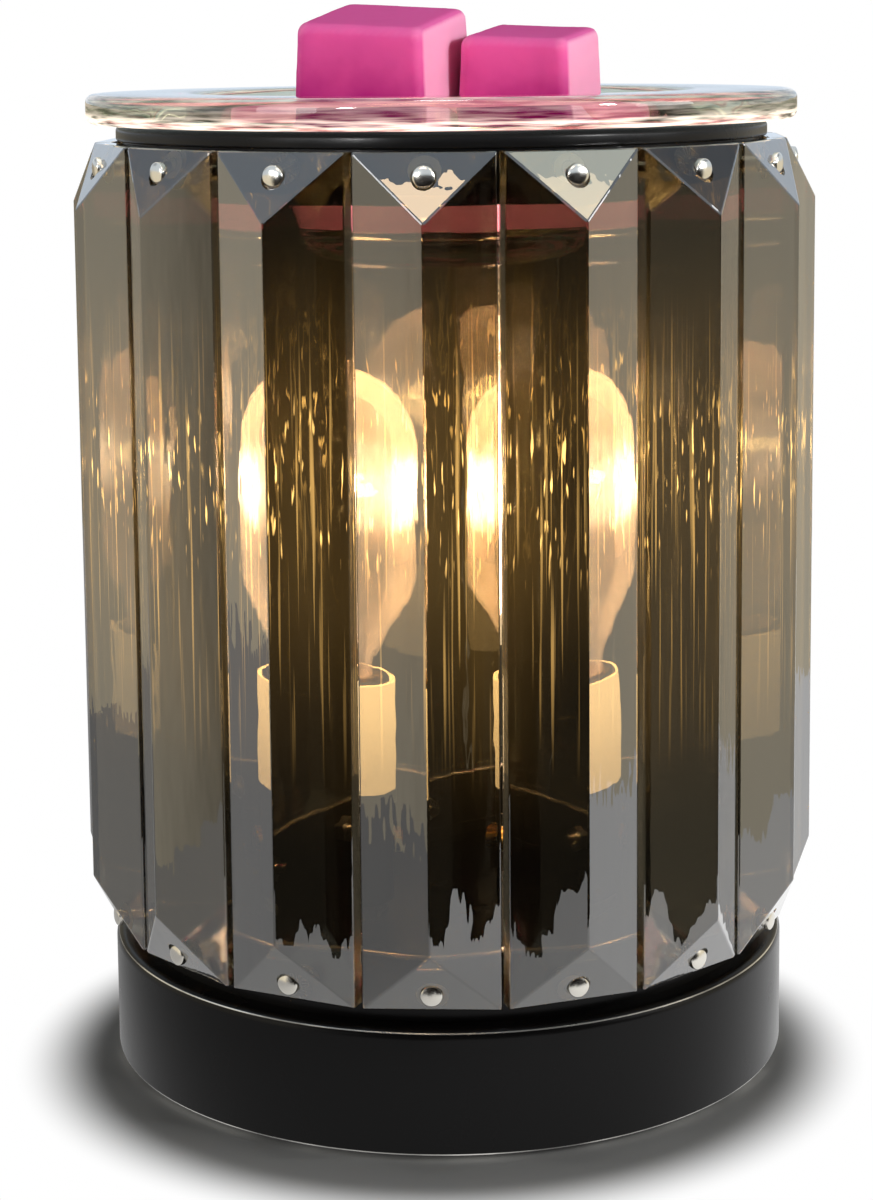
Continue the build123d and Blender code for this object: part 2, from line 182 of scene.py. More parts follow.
class DishSizes(bpy.types.PropertyGroup):
    """The glass dish."""
    rim: size("Rim", "Thickness of the rim", 4.7)
    mouth: size("Mouth", "Outside radius of the bowl under the rim", 42.2)
    draft: size("Draft", "How much narrower the bowl is at its foot", 6.0)
    wall: size("Wall", "Thickness of the bowl's wall", 4.0)
    floor: size("Floor", "Thickness of the bowl's floor", 4.5)
    rim_round: size("Rim round", "Rounded edge of the rim", 1.4)
    lip_round: size("Lip round", "Rounding between the bowl and the rim", 2.5)
    bowl_round: size("Bowl round", "Rounding between the bowl's wall and floor", 5.0)


class WaxSizes(bpy.types.PropertyGroup):
    """The wax pool and the cubes."""
    contact: size("Contact", "How far the pool's skin reaches into the glass, so that they touch", 0.05)
    ripple: size("Ripple", "Height of the waves on the pool", 0.25)
    ripple_width: size("Ripple width", "Width of those waves", 9.0)
    # Pool glow is the strength of the pool's painted glow, for the lamp shining through it.
    pool_glow: share("Pool glow", "How strongly the lamp shines through the pool", 1.5)
    pool_shine: share("Pool shine", "How glossy the pool is", 0.3)
    grain: size("Grain", "Step of the cubes' mesh", 0.45)
    dent: size("Dent", "Depth of the dents in the cubes' faces", 0.16)
    dent_width: size("Dent width", "Width of those dents", 6.0)
    pale_start: share("Pale start", "Where a cube starts to pale, as a share of its height", 0.4)
    pale_end: share("Pale end", "Where a cube is palest, as a share of its height", 1.1)


class Colours(bpy.types.PropertyGroup):
    """Colours of the finishes."""
    enamel: tint("Enamel", "Black enamel of the base and rings", "#0F0E0E")
    # Steel colours the painted highlight lines along the base's and the neck ring's edges.
    steel: tint("Steel", "Bare steel where the enamel is rubbed off", "#D8D5CF")
    smoke: tint("Smoke", "What one bar lets through", "#68604E")
    dish: tint("Dish", "Pressed glass of the dish", "#E6E8DE")
    deep_dish: tint("Deep dish", "That glass where it is deep", "#B4C4B2")
    wax: tint("Wax", "Wax near its surface", "#D8589A")
    deep_wax: tint("Deep wax", "Wax low in a cube and in the pool", "#8E0866")
    # Highlight wax paints highlights on thin edges and +X faces; lit wax and lit cream are painted glow for
    # the lamp shining through.
    highlight_wax: tint("Broken wax", "Wax on thin edges and on a broken side", "#F4B6CE")
    lit_wax: tint("Lit wax", "Wax that the lamp shines through", "#FF8F9C")
    cream: tint("Cream", "Candle sleeve", "#F3DDB0")
    lit_cream: tint("Lit cream", "Candle sleeve that the lamp shines through", "#FFDDAA")
    tungsten: tint("Tungsten", "Filament wire", "#4A4A4C")
    glow: tint("Glow", "Light of the lamp", "#FFD79A")
    # Haze is the painted glow on the lamp's glass and the dish's rim; gold is the painted glints on the
    # bars.
    haze: tint("Haze", "Film on the lamp's glass, lit by the filament", "#FFEAD8")
    glint_gold: tint("Gold", "Film on the bars' inner faces, lit by the lamp", "#FFCF80")
    # Near the warmer the paper is this grey, which paints its shadow darker.
    floor: tint("Floor", "Paper that it stands on", "#A8A8A6")


class StageValues(bpy.types.PropertyGroup):
    """The camera, the lamps and the paper."""
    distance: size("Distance", "Eye from the warmer's axis", 425.0)
    height: size("Height", "Eye above the table", 165.0)
    azimuth: degrees("Azimuth", "Eye turned from the front towards +X", 2.6)
    yaw: degrees("Yaw", "View turned aside from the axis", 0.155)
    pitch: degrees("Pitch", "View turned down", 7.5)
    roll: degrees("Roll", "View leaned to one side", -0.525)
    focal_pixels: share("Focal length", "In pixels of the photograph's frame", 2617.0)
    shift: share("Shift", "Frame moved down, as a share of its height", -0.18)
    fill: share("Fill", "Even light from all round", 0.1)
    through: share("Through glass", "How bright the room and paper are when seen through glass", 0.3)
    paper: size("Paper", "Radius of the paper", 6000.0)
    paper_drop: size("Paper drop", "Gap under the feet, so that no faces coincide", 0.02)
    shadow_x: size("Shadow X", "Middle of the shadow", -1.0)
    shadow_y: size("Shadow Y", "Middle of the shadow", -8.0)
    shadow_start: size("Shadow start", "Radius at which the shadow starts to fade", 55.2)
    shadow_end: size("Shadow end", "Radius at which the paper is plain", 70.2)
    # Painted light: in reflections the paper grades from darker on the left to brighter on the right.
    mirrored_left: share("Mirrored left", "How bright the paper's left side is in reflections", 0.47)
    mirrored_right: share("Mirrored right", "How bright its right side is in reflections", 1.1)
    mirrored_width: size("Mirrored width", "Half of the width between those two sides", 90.0)
    filament: share("Filament light", "Power of the lamp's light in watts", 0.35)
    filament_radius: size("Filament radius", "Radius of that light", 5.0)
    spot_cone: degrees("Spot cone", "How wide the spots on the wax open", 8.0)
    spot_radius: size("Spot radius", "Radius of those spots", 60.0)


class WarmerValues(bpy.types.PropertyGroup):
    """All the values, kept on the scene."""
    base: PointerProperty(type=BaseSizes)
    bars: PointerProperty(type=BarSizes)
    lamp: PointerProperty(type=LampSizes)
    dish: PointerProperty(type=DishSizes)
    wax: PointerProperty(type=WaxSizes)
    colours: PointerProperty(type=Colours)
    stage: PointerProperty(type=StageValues)


# Nodes and finishes

def add(tree, kind, inputs=None, **settings):
    """Add a node and set its properties, then its inputs, each to a value, an output or a node.

    A node stands for its first output that is in use.
    """
    node = tree.nodes.new(kind)
    for name, value in settings.items():
        setattr(node, name, value)
    for name, value in (inputs or {}).items():
        if isinstance(value, bpy.types.Node):
            value = next(output for output in value.outputs if output.enabled)
        if isinstance(value, bpy.types.NodeSocket):
            tree.links.new(value, node.inputs[name])
        else:
            node.inputs[name].default_value = value
    return node


def blank(name):
    """A material with an empty node tree."""
    material = bpy.data.materials.new(name)
    material.use_nodes = True
    material.node_tree.nodes.clear()
    return material, material.node_tree


def unlit(material):
    """The material, with its glow seen but not sampled as a light: the lamps do the lighting."""
    material.cycles.emission_sampling = "NONE"
    return material


def per_mm(width):
    """The texture scale that gives features of this width in millimetres."""
    return 1.0 / (width * MM)


def off_axis(tree, here):
    """How far a point is from the Z axis."""
    flat = add(tree, "ShaderNodeVectorMath", {0: here, 1: (1.0, 1.0, 0.0)}, operation="MULTIPLY")
    return add(tree, "ShaderNodeVectorMath", {0: flat}, operation="LENGTH")


def baked_enamel(colours, edges):
    """Enamel baked on steel: satin black, with a faint orange peel that softens what it mirrors.

    Bare steel lines along edges, each given as a height and a reach, are painted highlights drawn as wear.
    """
    material, tree = blank("baked black enamel")
    here = add(tree, "ShaderNodeTexCoord").outputs["Object"]
    height = add(tree, "ShaderNodeSeparateXYZ", {"Vector": here}).outputs["Z"]
    peel = add(tree, "ShaderNodeTexNoise", {"Vector": here, "Scale": per_mm(0.9), "Detail": 2.0})
    bump = add(tree, "ShaderNodeBump", {"Height": peel, "Strength": 0.3, "Distance": 0.03 * MM})
    cloud = add(tree, "ShaderNodeTexNoise", {"Vector": here, "Scale": per_mm(14.0), "Detail": 4.0})
    gloss = add(tree, "ShaderNodeMapRange", {"Value": cloud, "To Min": 0.2, "To Max": 0.32})
    # Painted highlight lines along the given edges, drawn as rubbed bare steel that also mirrors the lamps.
    rubbed_highlight = 0.0
    for level, reach in edges:
        close = add(tree, "ShaderNodeMath", {0: height, 1: level, 2: reach}, operation="COMPARE")
        rubbed_highlight = add(tree, "ShaderNodeMath", {0: close, 1: rubbed_highlight}, operation="MAXIMUM")
    uneven = add(tree, "ShaderNodeMapRange", {"Value": cloud, "From Min": 0.35, "From Max": 0.6,
                                              "To Min": 0.3})
    highlight_mask = add(tree, "ShaderNodeMath", {0: rubbed_highlight, 1: uneven}, operation="MULTIPLY")
    colour = add(tree, "ShaderNodeMix", {FACTOR: highlight_mask, COLOUR_A: colours.enamel, COLOUR_B: colours.steel},
                 data_type="RGBA")
    shader = add(tree, "ShaderNodeBsdfPrincipled", {
        "Base Color": colour, "Metallic": highlight_mask, "Roughness": gloss, "Specular IOR Level": 0.14,
        "Normal": bump})
    add(tree, "ShaderNodeOutputMaterial", {"Surface": shader})
    return material


def smoked_crystal(colours, back, lamp):
    """Smoked crystal glass, cut and polished, with a half-mirror coat: dark, with wavy reflections.

    Painted glints: a streaky glow on the inward faces, out to the back's radius, stands for the lamp's
    light.
    """
    material, tree = blank("smoked crystal glass, cut and polished")
    here = add(tree, "ShaderNodeTexCoord").outputs["Object"]
    height = add(tree, "ShaderNodeSeparateXYZ", {"Vector": here}).outputs["Z"]
    stretched = add(tree, "ShaderNodeMapping", {"Vector": here, "Scale": (1.0, 1.0, 0.22)})
    waves = add(tree, "ShaderNodeTexNoise", {"Vector": stretched, "Scale": per_mm(3.4), "Detail": 2.0,
                                             "Roughness": 0.45})
    bump = add(tree, "ShaderNodeBump", {"Height": waves, "Strength": 1.0, "Distance": 0.035 * MM})
    inner = add(tree, "ShaderNodeMapRange", {"Value": off_axis(tree, here), "From Min": back,
                                             "From Max": back + 0.5 * MM, "To Min": 1.0, "To Max": 0.0})

    def marks(drawn, width, least, most, centre, reach, level):
        """Upright marks, drawn out by a factor, that fade with height away from a centre."""
        long = add(tree, "ShaderNodeMapping", {"Vector": here, "Scale": (1.0, 1.0, 1.0 / drawn)})
        glow_film = add(tree, "ShaderNodeTexNoise", {"Vector": long, "Scale": per_mm(width), "Detail": 1.0})
        shown = add(tree, "ShaderNodeMapRange", {"Value": glow_film, "From Min": least, "From Max": most})
        above = add(tree, "ShaderNodeMath", {0: height, 1: centre}, operation="SUBTRACT")
        away = add(tree, "ShaderNodeMath", {0: above}, operation="ABSOLUTE")
        near = add(tree, "ShaderNodeMapRange", {"Value": away, "From Max": reach, "To Min": level,
                                                "To Max": 0.0}, interpolation_type="SMOOTHSTEP")
        return add(tree, "ShaderNodeMath", {0: shown, 1: near}, operation="MULTIPLY")

    # Painted glints: gold glow in streaks, sparks and a sheen, fading with height away from the lamp.
    streaks = marks(drawn=70.0, width=0.6, least=0.6, most=0.76, centre=lamp, reach=38.0 * MM, level=2.7)
    sparks = marks(drawn=9.0, width=0.6, least=0.66, most=0.74, centre=lamp + 8.0 * MM, reach=17.0 * MM,
                   level=10.0)
    sheen = marks(drawn=3.0, width=16.0, least=0.2, most=0.8, centre=lamp, reach=50.0 * MM, level=0.28)
    lines = add(tree, "ShaderNodeMath", {0: streaks, 1: sparks}, operation="ADD")
    painted_glints = add(tree, "ShaderNodeMath", {0: lines, 1: sheen}, operation="ADD")
    glow = add(tree, "ShaderNodeMath", {0: painted_glints, 1: inner}, operation="MULTIPLY")
    shader = add(tree, "ShaderNodeBsdfPrincipled", {
        "Base Color": colours.smoke, "Roughness": 0.0, "IOR": 1.55, "Transmission Weight": 1.0,
        "Coat Weight": 1.0, "Coat IOR": 1.9, "Coat Roughness": 0.0,
        "Emission Color": colours.glint_gold, "Emission Strength": glow, "Normal": bump, "Coat Normal": bump})
    add(tree, "ShaderNodeOutputMaterial", {"Surface": shader})
    return unlit(material)


def pressed_glass(colours, rim, bottom):
    """Clear pressed soda glass: grey-green where it is deep, with soft flow marks from the mould.

    Painted glow: the lower edge of its rim, at this radius and height, glows in broken lines.
    """
    material, tree = blank("clear pressed glass")
    here = add(tree, "ShaderNodeTexCoord").outputs["Object"]
    height = add(tree, "ShaderNodeSeparateXYZ", {"Vector": here}).outputs["Z"]
    flow = add(tree, "ShaderNodeTexNoise", {"Vector": here, "Scale": per_mm(7.0), "Detail": 1.0})
    bump = add(tree, "ShaderNodeBump", {"Height": flow, "Strength": 1.0, "Distance": 0.08 * MM})
    outer = add(tree, "ShaderNodeMapRange", {"Value": off_axis(tree, here), "From Min": rim - 2.4 * MM,
                                             "From Max": rim - 0.9 * MM})
    # Painted glow along the rim's lower edge, broken into lines, for the lamp's light let out there.
    edge = add(tree, "ShaderNodeMapRange", {"Value": height, "From Min": bottom + 0.8 * MM,
                                            "From Max": bottom + 2.2 * MM, "To Min": 1.5, "To Max": 0.28},
               interpolation_type="SMOOTHSTEP")
    long = add(tree, "ShaderNodeMapping", {"Vector": here, "Scale": (0.06, 0.06, 1.0)})
    lines = add(tree, "ShaderNodeTexNoise", {"Vector": long, "Scale": per_mm(0.5), "Detail": 2.0})
    painted_light = add(tree, "ShaderNodeMapRange", {"Value": lines, "From Min": 0.36, "From Max": 0.62})
    lit = add(tree, "ShaderNodeMath", {0: edge, 1: painted_light}, operation="MULTIPLY")
    glow = add(tree, "ShaderNodeMath", {0: lit, 1: outer}, operation="MULTIPLY")
    shader = add(tree, "ShaderNodeBsdfPrincipled", {
        "Base Color": colours.dish, "Roughness": 0.0, "IOR": 1.52, "Transmission Weight": 1.0,
        "Emission Color": colours.haze, "Emission Strength": glow, "Normal": bump})
    depth = add(tree, "ShaderNodeVolumeAbsorption", {"Color": colours.deep_dish, "Density": 40.0})
    add(tree, "ShaderNodeOutputMaterial", {"Surface": shader, "Volume": depth})
    return unlit(material)


def lamp_glass(colours, centre):
    """Blown lamp glass: clear, with a cloudy veil inside, thinner low down, and painted glow by the
    filament.
    """
    material, tree = blank("blown lamp glass")
    here = add(tree, "ShaderNodeTexCoord").outputs["Object"]
    height = add(tree, "ShaderNodeSeparateXYZ", {"Vector": here}).outputs["Z"]
    away = add(tree, "ShaderNodeVectorMath", {0: here, 1: centre}, operation="DISTANCE")
    # Painted glow: emission on the glass, strongest next to the filament and patchy.
    near = add(tree, "ShaderNodeMapRange", {
        "Value": away, "From Min": 12.5 * MM, "From Max": 13.8 * MM, "To Min": 24.0, "To Max": 3.5},
        interpolation_type="SMOOTHSTEP")
    drawn = add(tree, "ShaderNodeMapping", {"Vector": here, "Scale": (1.0, 1.0, 0.35)})
    glow_film = add(tree, "ShaderNodeTexNoise", {"Vector": drawn, "Scale": per_mm(1.6), "Detail": 8.0,
                                            "Roughness": 0.7})
    patchy = add(tree, "ShaderNodeMapRange", {"Value": glow_film, "From Min": 0.3, "From Max": 0.7,
                                              "To Min": 0.1, "To Max": 1.9})
    haze = add(tree, "ShaderNodeMath", {0: near, 1: patchy}, operation="MULTIPLY")
    shader = add(tree, "ShaderNodeBsdfPrincipled", {
        "Base Color": colours.haze, "Roughness": 0.03, "Emission Color": colours.haze,
        "Emission Strength": haze})
    clear = add(tree, "ShaderNodeBsdfTransparent")
    edge = add(tree, "ShaderNodeFresnel", {"IOR": 1.45})
    body = add(tree, "ShaderNodeMapRange", {"Value": edge, "To Min": 0.12, "To Max": 0.6})
    thin = add(tree, "ShaderNodeMapRange", {
        "Value": height, "From Min": centre.z - 14.0 * MM, "From Max": centre.z - 4.0 * MM, "To Min": 0.4},
        interpolation_type="SMOOTHSTEP")
    veil = add(tree, "ShaderNodeMath", {0: body, 1: thin}, operation="MULTIPLY")
    mixed = add(tree, "ShaderNodeMixShader", {0: veil, 1: clear, 2: shader})
    add(tree, "ShaderNodeOutputMaterial", {"Surface": mixed})
    return unlit(material)


def glowing_tungsten(colours):
    """Tungsten wire at a yellow heat, a little cooler where patches of the coil are thinner."""
    material, tree = blank("glowing tungsten coil")
    here = add(tree, "ShaderNodeTexCoord").outputs["Object"]
    patches = add(tree, "ShaderNodeTexNoise", {"Vector": here, "Scale": per_mm(2.0)})
    heat = add(tree, "ShaderNodeMapRange", {"Value": patches, "To Min": 1500.0, "To Max": 3000.0})
    shader = add(tree, "ShaderNodeBsdfPrincipled", {
        "Base Color": colours.tungsten, "Metallic": 1.0, "Roughness": 0.5,
        "Emission Color": colours.glow, "Emission Strength": heat})
    add(tree, "ShaderNodeOutputMaterial", {"Surface": shader})
    return unlit(material)


def moulded_sleeve(colours, bottom, top):
    """A translucent cream plastic sleeve, moulded, with painted glow strongest at the end nearest the lamp.
    """
    material, tree = blank("moulded cream plastic")
    here = add(tree, "ShaderNodeTexCoord").outputs["Object"]
    height = add(tree, "ShaderNodeSeparateXYZ", {"Vector": here}).outputs["Z"]
    # Painted glow: emission that rises towards the lamp, for its light shining through the sleeve.
    lit = add(tree, "ShaderNodeMapRange", {"Value": height, "From Min": bottom, "From Max": top,
                                           "To Min": 4.5, "To Max": 8.0}, interpolation_type="SMOOTHSTEP")
    marks = add(tree, "ShaderNodeTexNoise", {"Vector": here, "Scale": per_mm(4.0), "Detail": 3.0})
    gloss = add(tree, "ShaderNodeMapRange", {"Value": marks, "To Min": 0.35, "To Max": 0.55})
    shader = add(tree, "ShaderNodeBsdfPrincipled", {
        "Base Color": colours.cream, "Roughness": gloss, "Emission Color": colours.lit_cream,
        "Emission Strength": lit})
    add(tree, "ShaderNodeOutputMaterial", {"Surface": shader})
    return unlit(material)


def cast_wax(name, colours, bottom, top, glow, shine):
    """Cast scented wax: soft, cloudy pink, deeper low down, greasy, with painted glow for light from below.

    It has painted highlights: paler on thin edges, and on faces that look towards +X, where side light
    falls.
    """
    material, tree = blank(name)
    here = add(tree, "ShaderNodeTexCoord").outputs["Object"]
    height = add(tree, "ShaderNodeSeparateXYZ", {"Vector": here}).outputs["Z"]
    cloud = add(tree, "ShaderNodeTexNoise", {"Vector": here, "Scale": per_mm(9.0), "Detail": 3.0})
    uneven = add(tree, "ShaderNodeMath", {0: cloud, 1: 10.0 * MM, 2: height}, operation="MULTIPLY_ADD")
    level = add(tree, "ShaderNodeMapRange", {"Value": uneven, "From Min": bottom, "From Max": top},
                interpolation_type="SMOOTHSTEP")
    colour = add(tree, "ShaderNodeMix", {FACTOR: level, COLOUR_A: colours.deep_wax, COLOUR_B: colours.wax},
                 data_type="RGBA")
    skin = add(tree, "ShaderNodeNewGeometry").outputs
    facing = add(tree, "ShaderNodeSeparateXYZ", {"Vector": skin["Normal"]}).outputs
    # Painted highlights: thin edges and faces that look towards +X are paler.
    thin = add(tree, "ShaderNodeMapRange", {"Value": skin["Pointiness"], "From Min": 0.51,
                                            "From Max": 0.58, "To Max": 0.6})
    painted_light = add(tree, "ShaderNodeMapRange", {"Value": facing["X"], "From Min": 0.6, "From Max": 0.85,
                                              "To Min": thin, "To Max": 0.62})
    pale = add(tree, "ShaderNodeMix", {FACTOR: painted_light, COLOUR_A: colour, COLOUR_B: colours.highlight_wax},
               data_type="RGBA")
    # Painted glow: faces that look down or sideways glow most, for the lamp shining through from below.
    lit = add(tree, "ShaderNodeMapRange", {"Value": facing["Z"], "From Min": 0.2, "From Max": 0.7,
                                           "To Min": glow, "To Max": 0.4 * glow})
    grease = add(tree, "ShaderNodeTexNoise", {"Vector": here, "Scale": per_mm(2.2), "Detail": 4.0})
    gloss = add(tree, "ShaderNodeMapRange", {"Value": grease, "To Min": 0.28, "To Max": 0.5})
    bump = add(tree, "ShaderNodeBump", {"Height": grease, "Strength": 0.35, "Distance": 0.1 * MM})
    shader = add(tree, "ShaderNodeBsdfPrincipled", {
        "Base Color": pale, "Roughness": gloss, "IOR": 1.44, "Subsurface Weight": 0.5,
        "Subsurface Radius": (1.0, 0.6, 0.8), "Subsurface Scale": 2.5 * MM, "Specular IOR Level": shine,
        "Emission Color": colours.lit_wax, "Emission Strength": lit, "Normal": bump})
    add(tree, "ShaderNodeOutputMaterial", {"Surface": shader})
    return unlit(material)


def grained(name, code, metallic, roughness, spread, grain, detail, strength, depth):
    """A skin of one colour, whose grain, of a width in millimetres, varies how sharply it mirrors."""
    material, tree = blank(name)
    here = add(tree, "ShaderNodeTexCoord").outputs["Object"]
    marks = add(tree, "ShaderNodeTexNoise", {"Vector": here, "Scale": per_mm(grain), "Detail": detail})
    gloss = add(tree, "ShaderNodeMapRange", {"Value": marks, "To Min": roughness - spread,
                                             "To Max": roughness + spread})
    bump = add(tree, "ShaderNodeBump", {"Height": marks, "Strength": strength, "Distance": depth * MM})
    shader = add(tree, "ShaderNodeBsdfPrincipled", {
        "Base Color": linear(code), "Metallic": metallic, "Roughness": gloss, "Normal": bump})
    add(tree, "ShaderNodeOutputMaterial", {"Surface": shader})
    return material


def worn_metal(name, code, roughness, grain, spread=0.1):
    """A metal skin, plated, spun or drawn: its own colour, and fine shallow marks from handling."""
    return grained(name, code, 1.0, roughness, spread, grain, detail=4.0, strength=0.2, depth=0.02)


def moulded(name, code, roughness, grain, spread=0.1):
    """A skin of plastic, rubber or black glass: one colour, with a fine texture from its making."""
    return grained(name, code, 0.0, roughness, spread, grain, detail=3.0, strength=0.4, depth=0.05)


# Meshes

def rounded(corners):
    """Points of a closed outline of (across, up, round) corners, with each round drawn as an arc."""
    points = []
    for index, (across, up, radius) in enumerate(corners):
        corner = Vector((across, up))
        if not radius:
            points.append(corner)
            continue
        before = (Vector(corners[index - 1][:2]) - corner).normalized()
        after = (Vector(corners[(index + 1) % len(corners)][:2]) - corner).normalized()
        half = before.angle(after) / 2.0
        reach = radius / math.tan(half)
        centre = corner + (before + after).normalized() * radius / math.sin(half)
        start = (corner + before * reach - centre).normalized()
        end = (corner + after * reach - centre).normalized()
        for step in range(ROUND_STEPS + 1):
            points.append(centre + start.slerp(end, step / ROUND_STEPS) * radius)
    return points


def dome(radius, base, rise, count):
    """Outline points of a dome from its edge, which is left out, to its top on the axis."""
    points = []
    for step in range(1, count + 1):
        angle = QUARTER_TURN * step / count
        across = radius * math.cos(angle) if step < count else 0.0
        points.append(Vector((across, base + rise * math.sin(angle))))
    return points


def smoothed(mesh):
    """Smooth shading, with sharp edges kept."""
    mesh.shade_smooth()
    mesh.set_sharp_from_angle(angle=SHARP_ANGLE)
    return mesh


def bmesh_done(shape, name):
    """A mesh made from a bmesh, with doubles merged and faces turned outwards."""
    bmesh.ops.remove_doubles(shape, verts=shape.verts[:], dist=MERGE)
    bmesh.ops.recalc_face_normals(shape, faces=shape.faces[:])
    mesh = bpy.data.meshes.new(name)
    shape.to_mesh(mesh)
    shape.free()
    return mesh


def turned(name, points):
    """A closed outline of (radius, height) points turned about the Z axis."""
    shape = bmesh.new()
    rings = []
    for segment in range(TURNED_SEGMENTS):
        angle = math.tau * segment / TURNED_SEGMENTS
        rings.append([shape.verts.new((point.x * math.cos(angle), point.x * math.sin(angle), point.y))
                      for point in points])
    for here, there in zip(rings, rings[1:] + rings[:1]):
        for index in range(len(points)):
            if max(points[index - 1].x, points[index].x) > 0.0:
                shape.faces.new((here[index - 1], there[index - 1], there[index], here[index]))
    return smoothed(bmesh_done(shape, name))


def linked(name, data):
    """An object in the scene with this mesh, curve, lamp or camera."""
    piece = bpy.data.objects.new(name, data)
    bpy.context.scene.collection.objects.link(piece)
    return piece


def settled(piece):
    """The plain mesh that an object's modifiers give. The object is removed."""
    graph = bpy.context.evaluated_depsgraph_get()
    mesh = bpy.data.meshes.new_from_object(piece.evaluated_get(graph))
    bpy.data.objects.remove(piece)
    return mesh


def crosswise_rod(radius, start, end, height):
    """A rod along +X, from start to end, at this height, as a mesh to cut with."""
    shape = bmesh.new()
    turn = Matrix.Translation(((start + end) / 2.0, 0.0, height)) @ Matrix.Rotation(QUARTER_TURN, 4, "Y")
    bmesh.ops.create_cone(shape, cap_ends=True, segments=ROD_SEGMENTS, radius1=radius, radius2=radius,
                          depth=end - start, matrix=turn)
    return bmesh_done(shape, "cutter")


def cut(mesh, cutters):
    """The mesh with the cutters' shapes taken out of it."""
    piece = linked(mesh.name, mesh)
    tools = [linked("cutter", cutter) for cutter in cutters]
    for tool in tools:
        modifier = piece.modifiers.new("cut", "BOOLEAN")
        modifier.operation = "DIFFERENCE"
        modifier.solver = "EXACT"
        modifier.object = tool
    result = settled(piece)
    for tool in tools:
        bpy.data.objects.remove(tool)
    return result


def ring_tree():
    """Geometry nodes that set copies of a piece, which faces +X, evenly round the Z axis."""
    tree = bpy.data.node_groups.new("ring of copies", "GeometryNodeTree")
    for name, kind in (("Piece", "Geometry"), ("Count", "Int"), ("Start", "Float"), ("Finish", "Material")):
        tree.interface.new_socket(name, in_out="INPUT", socket_type=f"NodeSocket{kind}")
    tree.interface.new_socket("Ring", in_out="OUTPUT", socket_type="NodeSocketGeometry")
    given = add(tree, "NodeGroupInput").outputs
    pitch = add(tree, "ShaderNodeMath", {0: math.tau, 1: given["Count"]}, operation="DIVIDE")
    number = add(tree, "GeometryNodeInputIndex")
    angle = add(tree, "ShaderNodeMath", {0: number, 1: pitch, 2: given["Start"]}, operation="MULTIPLY_ADD")
    turn = add(tree, "ShaderNodeCombineXYZ", {"Z": angle})
    points = add(tree, "GeometryNodePoints", {"Count": given["Count"]})
    copies = add(tree, "GeometryNodeInstanceOnPoints", {"Points": points, "Instance": given["Piece"],
                                                        "Rotation": turn})
    real = add(tree, "GeometryNodeRealizeInstances", {"Geometry": copies})
    painted = add(tree, "GeometryNodeSetMaterial", {"Geometry": real, "Material": given["Finish"]})
    add(tree, "NodeGroupOutput", {"Ring": painted})
    return tree


def ring_of(mesh, count, finish):
    """A mesh of copies of one piece, which faces +X, evenly round the axis from the front."""
    piece = linked(mesh.name, mesh)
    modifier = piece.modifiers.new("ring", "NODES")
    modifier.node_group = bpy.data.node_groups.get("ring of copies") or ring_tree()
    values = {"Count": count, "Start": -QUARTER_TURN, "Finish": finish}
    for item in modifier.node_group.interface.items_tree:
        if item.name in values:
            modifier[item.identifier] = values[item.name]
    return settled(piece)


def place(name, mesh, finish, body, slot, *nodes):
    """Put a finished mesh on a body as the piece that stands for these nodes."""
    mesh.materials.clear()
    mesh.materials.append(finish)
    piece = linked(name, mesh)
    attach(piece, body)
    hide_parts(*nodes)
    return piece


def dress(finish, *nodes):
    """Give a finish to nodes that keep their own mesh."""
    for node in nodes:
        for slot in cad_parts[node].material_slots:
            slot.material = finish


# Steps that build the warmer

class WARMER_OT_base(bpy.types.Operator):
    """Build the base drum, with its hole for the cord gland."""
    bl_idname = "warmer.base"
    bl_label = "Base drum"

    def execute(self, context):
        """Turn the drum, cut the hole and enamel it."""
        values = context.scene.warmer
        sizes = values.base
        low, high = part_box("base_drum")
        inner = high.x - sizes.sheet
        ceiling = high.z - sizes.sheet
        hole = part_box("holder_nipple")[1].x + sizes.hole_clearance
        drum = turned("base_drum_shell", rounded([
            (hole, ceiling, 0.0), (inner, ceiling, sizes.hem_round), (inner, low.z, sizes.hem_round),
            (high.x, low.z, sizes.hem_round), (high.x, high.z, sizes.edge_round), (hole, high.z, 0.0)]))
        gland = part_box("cord_gland")
        level = (gland[0].z + gland[1].z) / 2.0
        cutter = crosswise_rod(sizes.gland_hole, inner - sizes.sheet, high.x + sizes.sheet, level)
        cutter.transform(Matrix.Rotation(QUARTER_TURN, 4, "Z"))
        drum = smoothed(cut(drum, [cutter]))
        # The lines along the foot, shoulder and lip are painted highlights, drawn as rubbed steel.
        shoulder = high.z - sizes.shoulder_drop * sizes.edge_round
        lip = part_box("neck_ring")[1].z
        finish = baked_enamel(values.colours, ((low.z, sizes.foot_highlight), (shoulder, sizes.shoulder_highlight),
                                               (lip, sizes.lip_highlight)))
        place("base_drum_shell", drum, finish, "warmer", "black_enamel", "base_drum")
        return {"FINISHED"}


class WARMER_OT_rings(bpy.types.Operator):
    """Build the neck ring and the top ring, which the bars are screwed to."""
    bl_idname = "warmer.rings"
    bl_label = "Rings"

    def execute(self, context):
        """Turn both rings, in the base's enamel."""
        sizes = context.scene.warmer.base
        finish = bpy.data.materials["baked black enamel"]
        low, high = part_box("neck_ring")
        skirt = high.x
        inner = skirt - sizes.sheet
        flange = inner - sizes.neck_flange
        neck = rounded([
            (flange, low.z, 0.0), (skirt, low.z, 0.0), (skirt, high.z, sizes.hem_round),
            (inner, high.z, sizes.hem_round), (inner, low.z + sizes.sheet, sizes.hem_round),
            (flange, low.z + sizes.sheet, 0.0)])
        place("neck_ring_turned", turned("neck_ring_turned", neck), finish, "warmer", "black_enamel",
              "neck_ring")
        low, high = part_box("top_ring")
        bead = high.z - sizes.bead_height
        bead_inside = high.x - sizes.bead_width
        top = rounded([
            (inner, low.z, sizes.hem_round), (skirt, low.z, sizes.hem_round), (skirt, bead, 0.0),
            (high.x, bead, sizes.hem_round), (high.x, high.z, sizes.bead_round),
            (bead_inside, high.z, sizes.bead_round), (bead_inside, bead, sizes.hem_round),
            (inner, bead, 0.0)])
        place("top_ring_turned", turned("top_ring_turned", top), finish, "warmer", "black_enamel",
              "top_ring")
        return {"FINISHED"}


